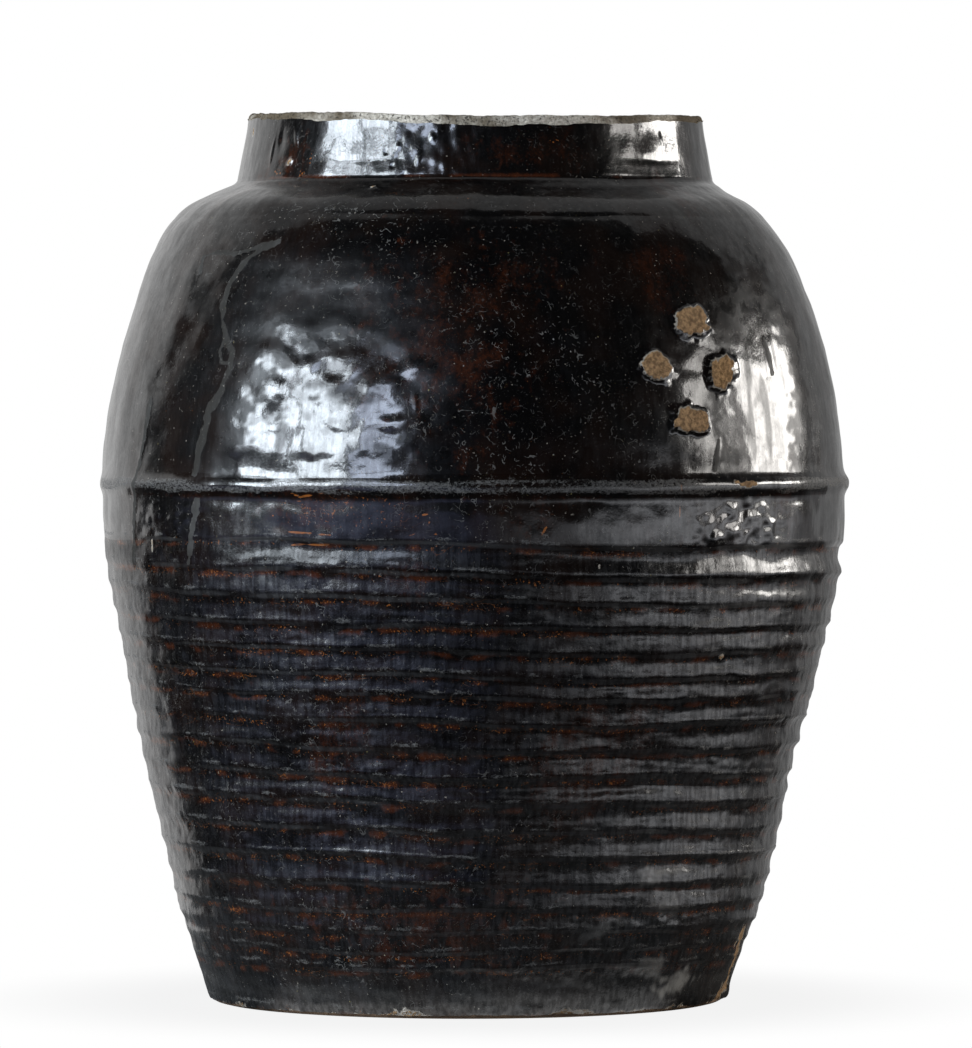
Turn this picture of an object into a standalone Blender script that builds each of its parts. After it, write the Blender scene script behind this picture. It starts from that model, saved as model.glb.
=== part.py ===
"""A wide-necked stoneware jar, built up from thrown and coiled sections of clay.

Metres, +Z up. The jar stands on z = 0 and its axis is the Z axis. Each section is turned
from an outline of (radius, height) points that runs up its outer side and down its inner side.
Neighbouring sections meet at a bevelled seam with a thin layer of slip between them.
"""

import math
from collections import namedtuple

import bmesh
import bpy

# Foot and base
FOOT_RADIUS = 0.131
FOOT_EDGE_RADIUS = 0.004
BASE_THICKNESS = 0.014

# Lower wall: a plain foot band, two courses of stepped ribs, and a rounded band above them
FOOT_WALL = 0.014
COVE_RADIUS = 0.010
FOOT_BAND_HEIGHT = 0.0157
RIB_PITCH = 0.0125
LOWER_RIB_COUNT = 7
UPPER_RIB_COUNT = 8
RIB_DEPTH = 0.0016
ROUND_BAND_HEIGHT = 0.0167

# Belly: a smooth band, and the proud ridge where the two halves of the jar are joined
BELLY_RADIUS = 0.188
BELLY_WALL = 0.010
BELLY_BAND_HEIGHT = 0.0247
RIDGE_HEIGHT = 0.0092
RIDGE_PROUD = 0.002

# Shoulder, neck and lip
SHOULDER_HEIGHT = 0.129
CAP_HEIGHT = 0.0182
MOUTH_RADIUS = 0.104
NECK_WALL = 0.016
NECK_STEP = 0.002
NECK_HEIGHT = 0.025
LIP_WALL = 0.012
LIP_HEIGHT = 0.0076
LIP_EDGE_RADIUS = 0.0035

# Seams between sections
SLIP_GAP = 0.0003
SEAM_BEVEL = 0.003
CREASE_DEPTH = 0.0012
CREASE_REACH = 0.0025

# Curves: a higher power keeps the wall fuller for longer
SWELL_POWER = 1.5
SHOULDER_POWER = 1.32
RIB_OUTLINE_SHARES = ((0.0, 0.0), (0.25, 0.4), (0.42, 1.0), (0.7, 0.6))

# Fineness of the turned shapes
SEGMENTS = 48
WALL_STEPS = 4
RIDGE_STEPS = 6
SHOULDER_STEPS = 8
CAP_STEPS = 3
CORNER_STEPS = 3
MERGE_DISTANCE = 0.00001
SHARP_ANGLE = math.radians(35)

# Heights of the seams, from the foot up
WALL_START = BASE_THICKNESS + SLIP_GAP
RIBS_START = WALL_START + FOOT_BAND_HEIGHT
COURSE_END = RIBS_START + RIB_PITCH * LOWER_RIB_COUNT
COURSE_START = COURSE_END + SLIP_GAP
RIBS_END = COURSE_START + RIB_PITCH * UPPER_RIB_COUNT
WALL_END = RIBS_END + ROUND_BAND_HEIGHT
BAND_START = WALL_END + SLIP_GAP
BAND_END = BAND_START + BELLY_BAND_HEIGHT
RIDGE_START = BAND_END + SLIP_GAP
RIDGE_END = RIDGE_START + RIDGE_HEIGHT
SHOULDER_START = RIDGE_END + SLIP_GAP
SHOULDER_END = SHOULDER_START + SHOULDER_HEIGHT
CAP_START = SHOULDER_END + SLIP_GAP
CAP_END = CAP_START + CAP_HEIGHT
NECK_START = CAP_END + SLIP_GAP
NECK_END = NECK_START + NECK_HEIGHT
LIP_START = NECK_END + SLIP_GAP
LIP_END = LIP_START + LIP_HEIGHT
WIDEST_HEIGHT = (RIDGE_START + RIDGE_END) / 2

# Radii that follow from the sizes above
NECK_ROOT_RADIUS = MOUTH_RADIUS + NECK_WALL
CAP_RADIUS = NECK_ROOT_RADIUS + NECK_STEP
LIP_RADIUS = MOUTH_RADIUS + LIP_WALL

# Finishes: colour, roughness
Finish = namedtuple("Finish", "colour roughness")
GLAZE = Finish((0.011, 0.008, 0.007, 1.0), 0.18)
RIDGE_GLAZE = Finish((0.018, 0.012, 0.009, 1.0), 0.22)
RIM_CLAY = Finish((0.19, 0.15, 0.11, 1.0), 0.85)
BASE_CLAY = Finish((0.16, 0.11, 0.07, 1.0), 0.9)


def clear_scene():
    """Start from an empty scene."""
    for old in list(bpy.data.objects):
        bpy.data.objects.remove(old, do_unlink=True)


# Curves of the wall


def wall_radius(height, foot_radius=FOOT_RADIUS, belly_radius=BELLY_RADIUS):
    """Radius of the lower half: it swells fast above the foot and is upright at the belly."""
    left = max(1 - height / WIDEST_HEIGHT, 0)
    return belly_radius - (belly_radius - foot_radius) * left**SWELL_POWER


def inner_wall_radius(height):
    """Radius of the lower half's inside, whose wall thins from the foot to the belly."""
    return wall_radius(height, FOOT_RADIUS - FOOT_WALL, BELLY_RADIUS - BELLY_WALL)


# The shoulder's outside and inside: radius at the belly, radius at the top, height of the top
Dome = namedtuple("Dome", "belly_radius top_radius top_height")
OUTER_DOME = Dome(BELLY_RADIUS, CAP_RADIUS, CAP_END)
INNER_DOME = Dome(BELLY_RADIUS - BELLY_WALL, CAP_RADIUS - BELLY_WALL, CAP_END - BELLY_WALL)


def dome_angle(dome, height):
    """How far round a dome a height lies: nothing at the belly, a right angle at its top."""
    return math.asin(min((height - WIDEST_HEIGHT) / (dome.top_height - WIDEST_HEIGHT), 1))


def dome_point(dome, angle):
    """The (radius, height) point that lies at an angle round a dome."""
    reach = max(math.cos(angle), 0) ** SHOULDER_POWER
    radius = dome.top_radius + (dome.belly_radius - dome.top_radius) * reach
    return radius, WIDEST_HEIGHT + (dome.top_height - WIDEST_HEIGHT) * math.sin(angle)


def dome_curve(dome, start, end, steps):
    """Points at even angles along a dome, from one height up to another."""
    first = dome_angle(dome, start)
    last = dome_angle(dome, end)
    return [dome_point(dome, first + (last - first) * step / steps) for step in range(steps + 1)]


def rounded_corner(radius, height, size, start_degrees, end_degrees):
    """Points of an arc about a centre given by its radius from the axis and its height."""
    points = []
    for step in range(CORNER_STEPS + 1):
        share = step / CORNER_STEPS
        angle = math.radians(start_degrees + (end_degrees - start_degrees) * share)
        points.append((radius + size * math.cos(angle), height + size * math.sin(angle)))
    return points


def rib(start, height):
    """One stepped rib: it juts out over the groove under it, then leans back to the next groove."""
    points = []
    for along, out in RIB_OUTLINE_SHARES:
        level = start + height * along
        points.append((wall_radius(level) - RIB_DEPTH * (1 - out), level))
    return points


# Seams: the lower section's bevelled top, and the upper section's foot that sits in it

Seam = namedtuple("Seam", "height outer inner")
COURSE_SEAM = Seam(COURSE_END, wall_radius(COURSE_END) - RIB_DEPTH, inner_wall_radius(COURSE_END))
CREASE_SEAM = Seam(WALL_END, wall_radius(WALL_END) - CREASE_DEPTH, inner_wall_radius(WALL_END))
BAND_SEAM = Seam(BAND_END, wall_radius(BAND_END) - CREASE_DEPTH, inner_wall_radius(BAND_END))
RIDGE_SEAM = Seam(RIDGE_END, BELLY_RADIUS - CREASE_DEPTH, BELLY_RADIUS - BELLY_WALL)
CAP_SEAM = Seam(
    SHOULDER_END,
    dome_point(OUTER_DOME, dome_angle(OUTER_DOME, SHOULDER_END))[0],
    dome_point(INNER_DOME, dome_angle(INNER_DOME, SHOULDER_END - SEAM_BEVEL))[0],
)
NECK_SEAM = Seam(CAP_END, NECK_ROOT_RADIUS, MOUTH_RADIUS)
LIP_SEAM = Seam(NECK_END, LIP_RADIUS - CREASE_DEPTH, MOUTH_RADIUS)


def top_of_lower(seam):
    """The seam's lower face, from outside to inside, falling towards the inside."""
    return [(seam.outer, seam.height), (seam.inner, seam.height - SEAM_BEVEL)]


def foot_of_upper(seam):
    """The seam's upper face, from inside to outside, one layer of slip above the lower."""
    return [(radius, height + SLIP_GAP) for radius, height in reversed(top_of_lower(seam))]


# Outlines of the sections


def base_disc_outline():
    """A slab with a rounded foot edge, bevelled where the wall is luted onto it."""
    edge_centre = wall_radius(FOOT_EDGE_RADIUS) - FOOT_EDGE_RADIUS
    return [
        (0, 0),
        *rounded_corner(edge_centre, FOOT_EDGE_RADIUS, FOOT_EDGE_RADIUS, -90, 0),
        (wall_radius(BASE_THICKNESS - SEAM_BEVEL), BASE_THICKNESS - SEAM_BEVEL),
        (inner_wall_radius(BASE_THICKNESS), BASE_THICKNESS),
        (0, BASE_THICKNESS),
    ]


def inner_wall_steps(start, end):
    """Points between two heights on the inside of the lower half, from the top down."""
    heights = [end + (start - end) * step / WALL_STEPS for step in range(1, WALL_STEPS)]
    return [(inner_wall_radius(height), height) for height in heights]


def lower_ribbed_wall_outline():
    """The first course: a cove inside the base, the foot band, and the lower ribs."""
    cove_top = WALL_START + COVE_RADIUS
    cove = rounded_corner(inner_wall_radius(cove_top) - COVE_RADIUS, cove_top, COVE_RADIUS, -60, 0)
    ribs = []
    for number in range(LOWER_RIB_COUNT):
        ribs += rib(RIBS_START + RIB_PITCH * number, RIB_PITCH)
    return [
        (cove[0][0], WALL_START),
        (inner_wall_radius(BASE_THICKNESS), WALL_START),
        (wall_radius(BASE_THICKNESS - SEAM_BEVEL), WALL_START - SEAM_BEVEL),
        (wall_radius(RIBS_START - CREASE_REACH), RIBS_START - CREASE_REACH),
        *ribs,
        *top_of_lower(COURSE_SEAM),
        *inner_wall_steps(cove_top, COURSE_END - SEAM_BEVEL),
        *reversed(cove),
    ]


def upper_ribbed_wall_outline():
    """The second course: the upper ribs, and the rounded band up to the crease."""
    ribs = []
    for number in range(UPPER_RIB_COUNT):
        ribs += rib(COURSE_START + RIB_PITCH * number, RIB_PITCH)
    return [
        *foot_of_upper(COURSE_SEAM),
        *ribs[1:],
        *rib(RIBS_END, ROUND_BAND_HEIGHT),
        *top_of_lower(CREASE_SEAM),
        *inner_wall_steps(COURSE_START - SEAM_BEVEL, WALL_END - SEAM_BEVEL),
    ]


def belly_band_outline():
    """The smooth band above the crease, eased at both edges."""
    lower_edge = BAND_START + CREASE_REACH
    upper_edge = BAND_END - CREASE_REACH
    middle = (lower_edge + upper_edge) / 2
    return [
        *foot_of_upper(CREASE_SEAM),
        (wall_radius(lower_edge), lower_edge),
        (wall_radius(middle), middle),
        (wall_radius(upper_edge), upper_edge),
        *top_of_lower(BAND_SEAM),
    ]


def seam_ridge_outline():
    """The half-round coil pressed over the join of the two halves."""
    crest = []
    for step in range(1, RIDGE_STEPS):
        angle = math.pi * step / RIDGE_STEPS
        height = WIDEST_HEIGHT - RIDGE_HEIGHT / 2 * math.cos(angle)
        out = (CREASE_DEPTH + RIDGE_PROUD) * math.sin(angle)
        crest.append((RIDGE_SEAM.outer + out, height))
    return [*foot_of_upper(BAND_SEAM), *crest, *top_of_lower(RIDGE_SEAM)]


def shoulder_dome_outline():
    """The full shoulder of the upper half, up to the faint crease below the neck."""
    outside = dome_curve(OUTER_DOME, SHOULDER_START + CREASE_REACH, SHOULDER_END, SHOULDER_STEPS)
    inside = dome_curve(INNER_DOME, SHOULDER_START, SHOULDER_END - SEAM_BEVEL, SHOULDER_STEPS)
    return [
        *foot_of_upper(RIDGE_SEAM),
        *outside[:-1],
        *top_of_lower(CAP_SEAM),
        *reversed(inside[:-1]),
    ]


def shoulder_cap_outline():
    """The flange that the neck stands on: the shoulder turns over until it is almost flat."""
    outside = dome_curve(OUTER_DOME, CAP_START, CAP_END, CAP_STEPS)
    inside = dome_curve(INNER_DOME, CAP_START - SEAM_BEVEL, INNER_DOME.top_height, CAP_STEPS)
    return [
        *foot_of_upper(CAP_SEAM),
        *outside[1:],
        *top_of_lower(NECK_SEAM),
        (MOUTH_RADIUS, CAP_END - BELLY_WALL / 2),
        *reversed(inside[1:]),
    ]


def neck_collar_outline():
    """The short neck, narrower at the lip than at its foot."""
    eased = NECK_END - CREASE_REACH
    taper = (NECK_ROOT_RADIUS - LIP_RADIUS) / NECK_HEIGHT
    return [
        *foot_of_upper(NECK_SEAM),
        (LIP_RADIUS + taper * CREASE_REACH, eased),
        *top_of_lower(LIP_SEAM),
    ]


def rim_lip_outline():
    """The last coil, flat on top with both edges rounded."""
    corner_height = LIP_END - LIP_EDGE_RADIUS
    outer_centre = LIP_RADIUS - LIP_EDGE_RADIUS
    inner_centre = MOUTH_RADIUS + LIP_EDGE_RADIUS
    return [
        *foot_of_upper(LIP_SEAM),
        *rounded_corner(outer_centre, corner_height, LIP_EDGE_RADIUS, 0, 90),
        *rounded_corner(inner_centre, corner_height, LIP_EDGE_RADIUS, 90, 180),
    ]


# Making the solids


def make_material(name, finish):
    """A Principled material in the finish's colour and roughness."""
    material = bpy.data.materials.new(name)
    material.use_nodes = True
    shader = material.node_tree.nodes["Principled BSDF"]
    shader.inputs["Base Color"].default_value = finish.colour
    shader.inputs["Roughness"].default_value = finish.roughness
    shader.inputs["Metallic"].default_value = 0.0
    material.diffuse_color = finish.colour
    return material


def turned_mesh(name, outline, seat):
    """Turn a closed outline about the Z axis, with its heights measured from the seat."""
    turned = bmesh.new()
    corners = [turned.verts.new((radius, 0, height - seat)) for radius, height in outline]
    edges = []
    for number, corner in enumerate(corners):
        following = corners[(number + 1) % len(corners)]
        if corner.co.x > 0 or following.co.x > 0:
            edges.append(turned.edges.new((corner, following)))
    bmesh.ops.spin(
        turned,
        geom=corners + edges,
        cent=(0, 0, 0),
        axis=(0, 0, 1),
        angle=2 * math.pi,
        steps=SEGMENTS,
    )
    bmesh.ops.remove_doubles(turned, verts=turned.verts, dist=MERGE_DISTANCE)
    bmesh.ops.recalc_face_normals(turned, faces=turned.faces)
    mesh = bpy.data.meshes.new(name)
    turned.to_mesh(mesh)
    turned.free()
    mesh.shade_smooth()
    mesh.set_sharp_from_angle(angle=SHARP_ANGLE)
    return mesh


def add_section(name, outline, seat, finish, parent):
    """One section of the jar, standing at its seat height on the jar's axis."""
    mesh = turned_mesh(name, outline, seat)
    mesh.materials.append(make_material(name, finish))
    section = bpy.data.objects.new(name, mesh)
    section.location = (0, 0, seat)
    section.parent = parent
    bpy.context.scene.collection.objects.link(section)
    return section


def build_jar():
    """All the sections, from the foot up, under one empty at the foot's centre."""
    clear_scene()
    jar = bpy.data.objects.new("jar", None)
    bpy.context.scene.collection.objects.link(jar)
    add_section("base_disc", base_disc_outline(), 0, BASE_CLAY, jar)
    add_section("lower_ribbed_wall", lower_ribbed_wall_outline(), WALL_START, GLAZE, jar)
    add_section("upper_ribbed_wall", upper_ribbed_wall_outline(), COURSE_START, GLAZE, jar)
    add_section("belly_band", belly_band_outline(), BAND_START, GLAZE, jar)
    add_section("seam_ridge", seam_ridge_outline(), RIDGE_START, RIDGE_GLAZE, jar)
    add_section("shoulder_dome", shoulder_dome_outline(), SHOULDER_START, GLAZE, jar)
    add_section("shoulder_cap", shoulder_cap_outline(), CAP_START, GLAZE, jar)
    add_section("neck_collar", neck_collar_outline(), NECK_START, GLAZE, jar)
    add_section("rim_lip", rim_lip_outline(), LIP_START, RIM_CLAY, jar)


build_jar()
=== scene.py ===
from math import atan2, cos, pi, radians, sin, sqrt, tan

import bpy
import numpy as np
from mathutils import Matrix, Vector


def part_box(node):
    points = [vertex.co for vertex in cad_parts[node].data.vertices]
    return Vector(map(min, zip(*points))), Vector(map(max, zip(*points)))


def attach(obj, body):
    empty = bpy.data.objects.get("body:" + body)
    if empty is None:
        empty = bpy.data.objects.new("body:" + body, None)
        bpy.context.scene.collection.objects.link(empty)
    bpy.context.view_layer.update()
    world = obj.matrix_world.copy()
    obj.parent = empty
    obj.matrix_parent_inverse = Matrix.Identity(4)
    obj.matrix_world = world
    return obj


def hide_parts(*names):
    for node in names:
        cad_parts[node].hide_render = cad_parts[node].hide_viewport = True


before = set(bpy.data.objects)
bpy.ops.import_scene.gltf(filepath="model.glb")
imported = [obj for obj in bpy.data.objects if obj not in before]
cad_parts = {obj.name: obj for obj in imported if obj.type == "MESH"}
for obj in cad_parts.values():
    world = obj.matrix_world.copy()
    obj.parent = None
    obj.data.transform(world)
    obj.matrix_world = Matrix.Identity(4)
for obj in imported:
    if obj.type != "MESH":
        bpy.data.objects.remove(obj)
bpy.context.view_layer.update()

# The looks of a squat stoneware storage jar with a dark gloss glaze.
# One skin of clay and glaze is shaped on a grid, row by row up the wall and column by column
# round it, and is then cut at the seams of the frame's nodes into closed sections.

MM = 0.001

# Photograph and camera, in pixels, metres and millimetres of lens
PHOTO_WIDTH = 972
PHOTO_HEIGHT = 1048
CAMERA_PLACE = Vector((0.0066, -4.10, 0.323))
CAMERA_TARGET = Vector((0.0066, 0.0, 0.242))
LENS = 276.7
SENSOR = 36.0
CLIP_END = 50.0
SIGHT_START = 0.15
SIGHT_ROUNDS = 20

# Sections of the wall from the foot up, and the material slot of every section
WALL_SECTIONS = (
    "lower_ribbed_wall", "upper_ribbed_wall", "belly_band", "seam_ridge", "shoulder_dome", "shoulder_cap",
    "neck_collar",
)
SECTION_SLOTS = {
    "base_disc": "bare_clay",
    **dict.fromkeys(WALL_SECTIONS, "dark_glaze"),
    "rim_lip": "rim_clay",
}

# Grid of the skin
COLUMNS = 1080
ROW_STEP = 1.0 * MM
INNER_ROW_STEP = 6.0 * MM
PADDING_ROWS = 96
PROFILE_STEP = 0.25 * MM
SEAM_MARGIN = 1e-7
ROW_MARGIN = 1e-9
ROUNDING_STEPS = 9
LIP_SAFE_ROWS = 8


def top_of(node):
    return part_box(node)[1].z


def seam_between(lower, upper):
    """Height at which two neighbouring nodes meet."""
    return (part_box(lower)[1].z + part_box(upper)[0].z) / 2


# Heights of the seams from the foot up, as the nodes of the frame meet
FOOT_SEAM = 2.0 * MM
UPPER_SEAMS = [seam_between(*pair) for pair in zip(WALL_SECTIONS, (*WALL_SECTIONS[1:], "rim_lip"))]
CREASE_SEAM, RIDGE_FOOT, RIDGE_TOP, CAP_SEAM, NECK_SEAM, LIP_SEAM = UPPER_SEAMS[1:]
SEAMS = (FOOT_SEAM, *UPPER_SEAMS)
RIDGE_MIDDLE = (RIDGE_FOOT + RIDGE_TOP) / 2
JAR_TOP = top_of("rim_lip")
BASE_TOP = top_of("base_disc")

# Outline: height and radius in millimetres, measured from the silhouette
WALL_OUTLINE = (
    (0, 130.6), (4, 132.0), (30, 141.6), (47, 148.0), (75, 154.7), (100, 159.8), (125, 165.6),
    (150, 172.1), (175, 177.6), (225, 187.0), (262, 188.3), (290, 186.4), (325, 179.8), (355, 170.8),
    (380, 160.6), (396, 150.3), (400, 146.7), (405, 140.2), (409, 132.6), (413, 125.0), (414.6, 122.2),
    (415.6, 121.2), (417, 120.7),
)
NECK_OUTLINE = ((417, 120.7), (422, 119.7), (432, 117.9), (442, 116.3), (450, 115.5))
FOOT_EDGE = 4.0 * MM
LIP_EDGE = 2.6 * MM
LIP_TOP_DROP = 0.8 * MM
MOUTH_RADIUS = 104.0 * MM
INNER_WALLS = ((0, 14), (60, 12), (200, 10), (380, 10), (410, 13), (417, 15.5), (450, 12))
BASE_RING_RADII = (8, 30, 60, 90, 110, 122)
BASE_FLOOR_RADII = (100, 70, 40, 15)
BASE_EDGE_RINGS = 4

# Sideways shift of the centre line: height and shift in millimetres
LEAN = (
    (0, -2.9), (60, -2.0), (120, -2.4), (170, -0.2), (350, 0), (380, -0.4), (395, -1.5), (404, -1.9),
    (410, -1.8), (416, 0.8), (450, 1.2),
)

# Ribs of the lower wall: the edge that each juts out to, and the depth of the groove above it
RIB_EDGES = (
    (5, 0.6), (25.5, 0.5), (34, 0.7), (44, 0.8), (55, 0.9), (68, 1.3), (82, 0.7), (95, 0.8), (109, 1.3),
    (122, 1.1), (135.5, 1.1), (149, 0.7), (162, 0.7), (173, 0.8), (185, 0.9), (197, 0.7), (209.5, 0.75),
    (221.5, 1.0), (236, 0),
)
# One rib: share of the way up to the next edge, and how far out, from -1 in the groove to 1
RIB_SHARES = (
    (0, 0.94), (0.05, 0.86), (0.13, 0.60), (0.26, 0.10), (0.40, -0.50), (0.52, -0.90), (0.60, -1.0),
    (0.70, -0.84), (0.80, -0.42), (0.88, 0.18), (0.95, 0.76), (1.0, 0.94),
)
# Tilt of the ribs, the heights between which it grows and fades, and how much more a rib stands out
# on one side than in the middle, for all ribs and for the uppermost
RIB_TILT = 3.9 * MM
TILT_RISE = (15 * MM, 130 * MM)
TILT_FADE = (218 * MM, 256 * MM)
RIB_SIDE_SHARE = 0.14
TOP_RIB_SIDE_SHARE = 0.78
TOP_RIB = (217 * MM, 223 * MM)
LEDGE_REACH = 1.3 * MM
UNDER_EDGE = 4.0 * MM
UNDER_REACH = 2.5 * MM
# Painted shade under each rib's edge: how far below the edge it lies, its reach, and the turn round the jar
# over which it fades
SHADE_SLIT_EDGE = 1.8 * MM
SHADE_SLIT_REACH = 1.4 * MM
SHADE_SLIT_TURN = (radians(50), radians(68))

# The ridge: height from its middle in millimetres, and share of how proud it stands
RIDGE_SHARES = (
    (-7.5, 0), (-5.4, 0.10), (-3.2, 0.48), (-1.6, 0.84), (0, 0.97), (1.6, 1.0), (3.0, 0.82), (4.6, 0.48),
    (6.4, 0.20), (9.0, 0.05), (12.5, 0),
)
RIDGE_PROUD = 1.9 * MM
RIDGE_SIDE_SHARE = 0.28
RIDGE_DUST = (-2.4 * MM, 5.0 * MM)
CAP_CREASE_DEPTH = 0.22 * MM
CAP_CREASE_REACH = 1.6 * MM

# Lines where the glaze ends and where the lip's top lies: rise, tilt and dip in millimetres, and the
# angle and reach of the dip
GLAZE_LINE = (5.6, 0.7, 4.5)
LIP_TOP_LINE = (0.1, 0.7, 2.4)
DIP_ANGLE = radians(9)
DIP_REACH = radians(42)
NECK_TILT = 0.032

# In the tables below, a spot is a pixel of the photograph, a width and height across in
# millimetres and, for most, a turn in degrees. It fades between shares of its own size.

# Waves of the hand-made wall: where, then seed, width, height and depth in millimetres
WAVES = (
    ("wall", 21, 85, 75, 0.45), ("wall", 22, 26, 24, 0.13), ("wall", 23, 9, 9, 0.035),
    ("shoulder", 24, 110, 10, 0.05), ("body", 25, 16, 70, 0.055), ("ribs", 26, 20, 6, 0.06),
    ("ribs", 27, 5, 4, 0.045), ("ribs", 28, 30, 3, 0.030), ("below_ridge", 30, 12, 10, 0.06),
)
# Patches of stronger waves: spot, where it starts to fade and ends, waves. The last two look hammered.
WAVY_PATCHES = (
    ((335, 400), 125, 90, 0.5, 1.1, ((29, 16, 13, 0.25), (20, 6, 6, 0.035))),
    ((150, 400), 200, 240, 0.4, 1.1, ((35, 20, 45, 0.15),)),
    ((795, 400), 200, 240, 0.4, 1.1, ((36, 20, 50, 0.10),)),
    ((742, 527), 84, 34, 0.5, 1.1, ((61, 6.2, 5.6, 0.27),)),
    ((162, 530), 62, 40, 0.5, 1.1, ((61, 6.2, 5.6, 0.12),)),
)

# Clay pads on the shoulder: spot
PADS = (
    ((690, 322), 21, 15, 12), ((655, 367), 17, 14, -20), ((722, 373), 20, 16, 25),
    ((690, 420), 22, 14, -8),
)
PAD_HEIGHT = 1.9 * MM
PAD_SQUARENESS = 3.2

# Dull runs of slip under the glaze: pixels along each, half width and height in millimetres
LONG_RUN = (
    (280, 242), (263, 248), (242, 265), (230, 283), (223, 303), (222, 320), (225, 337), (232, 352),
    (230, 367), (220, 387), (208, 410), (202, 433), (197, 453), (195, 473),
)
RUNS = (
    (LONG_RUN, 1.9, 0.14),
    (((221, 388), (208, 410), (202, 433), (197, 453), (195, 473)), 3.1, 0.10),
    (((225, 337), (219, 350), (220, 362), (227, 364)), 1.1, 0.14),
    (((200, 272), (203, 257), (216, 251), (236, 254), (252, 250), (272, 243)), 1.4, 0.12),
    (((196, 500), (192, 530), (190, 560)), 2.6, 0.08),
    (((150, 400), (143, 440), (135, 500), (133, 560)), 2.0, 0.20),
    (((720, 440), (716, 470)), 1.6, 0.3),
    (((764, 340), (772, 372)), 1.8, 0.25),
)

# Lumps and dents: spot, push in millimetres
LUMPS = (
    ((227, 347), 4, 7, -15, 0.5), ((290, 162), 4.5, 2.6, 30, 1.2), ((281, 142), 7, 12, 10, -0.5),
    ((296, 138), 3, 12, 25, 0.5), ((272, 150), 2.4, 14, 0, 0.5), ((373, 187), 4.4, 3.6, 20, 0.7),
    ((207, 978), 9, 7, 0, 1.3), ((662, 915), 6, 5, 0, -0.5), ((662, 915), 2.2, 2, 0, 0.8),
    ((512, 830), 4, 3, 0, 0.6), ((720, 655), 4, 5, 0, 0.5), ((432, 137), 3.5, 4, 30, 0.6),
    ((398, 146), 2.6, 2.2, 0, 0.5), ((385, 152), 2.2, 2.2, 0, -0.5), ((404, 174), 2.2, 2, 0, -0.5),
    ((392, 166), 2.2, 2, 0, -0.5), ((418, 160), 3, 8, -15, 0.4), ((662, 140), 2.4, 8, 8, 0.5),
    ((690, 132), 2, 3, 0, -0.4), ((714, 540), 5, 5, 0, 0.6), ((717, 538), 1.8, 1.8, 0, -0.8),
    ((415, 400), 2.5, 9, 5, 0.45), ((283, 385), 2.5, 16, 0, 0.35), ((655, 160), 46, 5, 0, -0.3),
    ((378, 768), 24, 7, 0, 0.5), ((728, 646), 12, 7, 0, 0.5), ((738, 568), 46, 7, 0, 0.4),
    ((360, 160), 50, 4, 0, -0.12),
)

# Places where only the glaze differs: mask, how ragged they are, where they start to fade and end,
# and the spot and strength of each
PLACES = (
    ("bare", 1.0, 0.7, 1.15, (
        ((748, 484), 13, 2.8, 0, 0.95), ((735, 482), 5, 2.4, 0, 0.8), ((253, 127), 2.5, 5, 10, 0.9),
        ((373, 187), 2.6, 1.6, 20, 0.9), ((512, 830), 3, 2, 0, 0.8), ((720, 657), 2.6, 3, 0, 0.85),
        ((290, 162), 3.4, 1.4, 30, 0.9), ((152, 545), 1.4, 5, 0, 0.7), ((599, 566), 1.6, 2.4, 0, 0.6),
    )),
    ("fibre", 1.5, 0.5, 1.2, (
        ((310, 157), 4, 7, 0, 0.9), ((303, 173), 8, 4, 0, 0.9), ((396, 194), 9, 2.6, 0, 0.7),
        ((463, 198), 9, 3, 0, 0.6), ((555, 140), 10, 3, 25, 0.6), ((276, 198), 5, 3, 0, 0.5),
        ((279, 172), 8, 3, 0, 0.7),
    )),
    # Pale patches low on the wall, painted as reflection
    ("reflection_bloom", 1.5, 0.3, 1.2, (
        ((672, 984), 34, 15, 10, 1.0), ((650, 966), 22, 12, 0, 0.6), ((668, 905), 22, 14, 0, 0.5),
        ((600, 930), 26, 12, 0, 0.35), ((655, 875), 16, 10, 0, 0.5), ((560, 985), 40, 8, 0, 0.3),
    )),
    ("rust", 1.5, 0.4, 1.2, (
        ((445, 350), 95, 110, 0, 0.5), ((470, 270), 130, 40, 0, 0.42), ((520, 150), 90, 26, 0, 0.45),
        ((296, 150), 26, 30, 0, 0.6), ((250, 660), 60, 40, 0, 0.3), ((430, 930), 150, 50, 0, 0.55),
        ((700, 540), 50, 40, 0, 0.35), ((300, 510), 70, 26, 0, 0.5), ((480, 470), 60, 60, 0, 0.3),
    )),
)

# Thin amber threads in the glaze of the belly band: pixels along each
THREADS = (
    ((288, 492), (300, 497), (330, 492)), ((270, 500), (302, 502)), ((302, 503), (315, 508), (333, 505)),
    ((272, 516), (278, 520)), ((267, 524), (272, 524)), ((264, 534), (272, 532)), ((287, 532), (330, 535)),
    ((289, 545), (328, 545)), ((375, 507), (393, 506)), ((415, 516), (419, 518)), ((423, 515), (444, 512)),
    ((408, 536), (422, 531), (430, 522)), ((432, 534), (437, 534)), ((540, 537), (546, 527)),
    ((548, 513), (558, 516)), ((679, 482), (680, 517)),
)
THREAD_REACH = 2.0 * MM
THREAD_WANDER = 1.2 * MM

# Places that mirror clearly: spot, and where the ring of haze round it starts to fade and ends
CLEAR_DOMES = (((326, 474), 104, 128, 0, 1.9, 2.8), ((766, 404), 52, 100, -14, 1.3, 1.9))
# Hazy patches: spot, strength
HAZY_PATCHES = (
    ((344, 390), 44, 17, 0, 0.85), ((340, 366), 34, 9, 0, 0.6), ((281, 428), 8, 36, 0, 0.8),
    ((352, 425), 9, 24, 12, 0.5), ((384, 452), 24, 9, -25, 0.8), ((310, 452), 10, 16, 30, 0.5),
    ((765, 352), 9, 20, -10, 0.5), ((778, 430), 12, 26, 10, 0.45),
)
HAZY_RIB = 229.5 * MM
BRUSHED_PATCH = ((775, 420), 70, 100)

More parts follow.
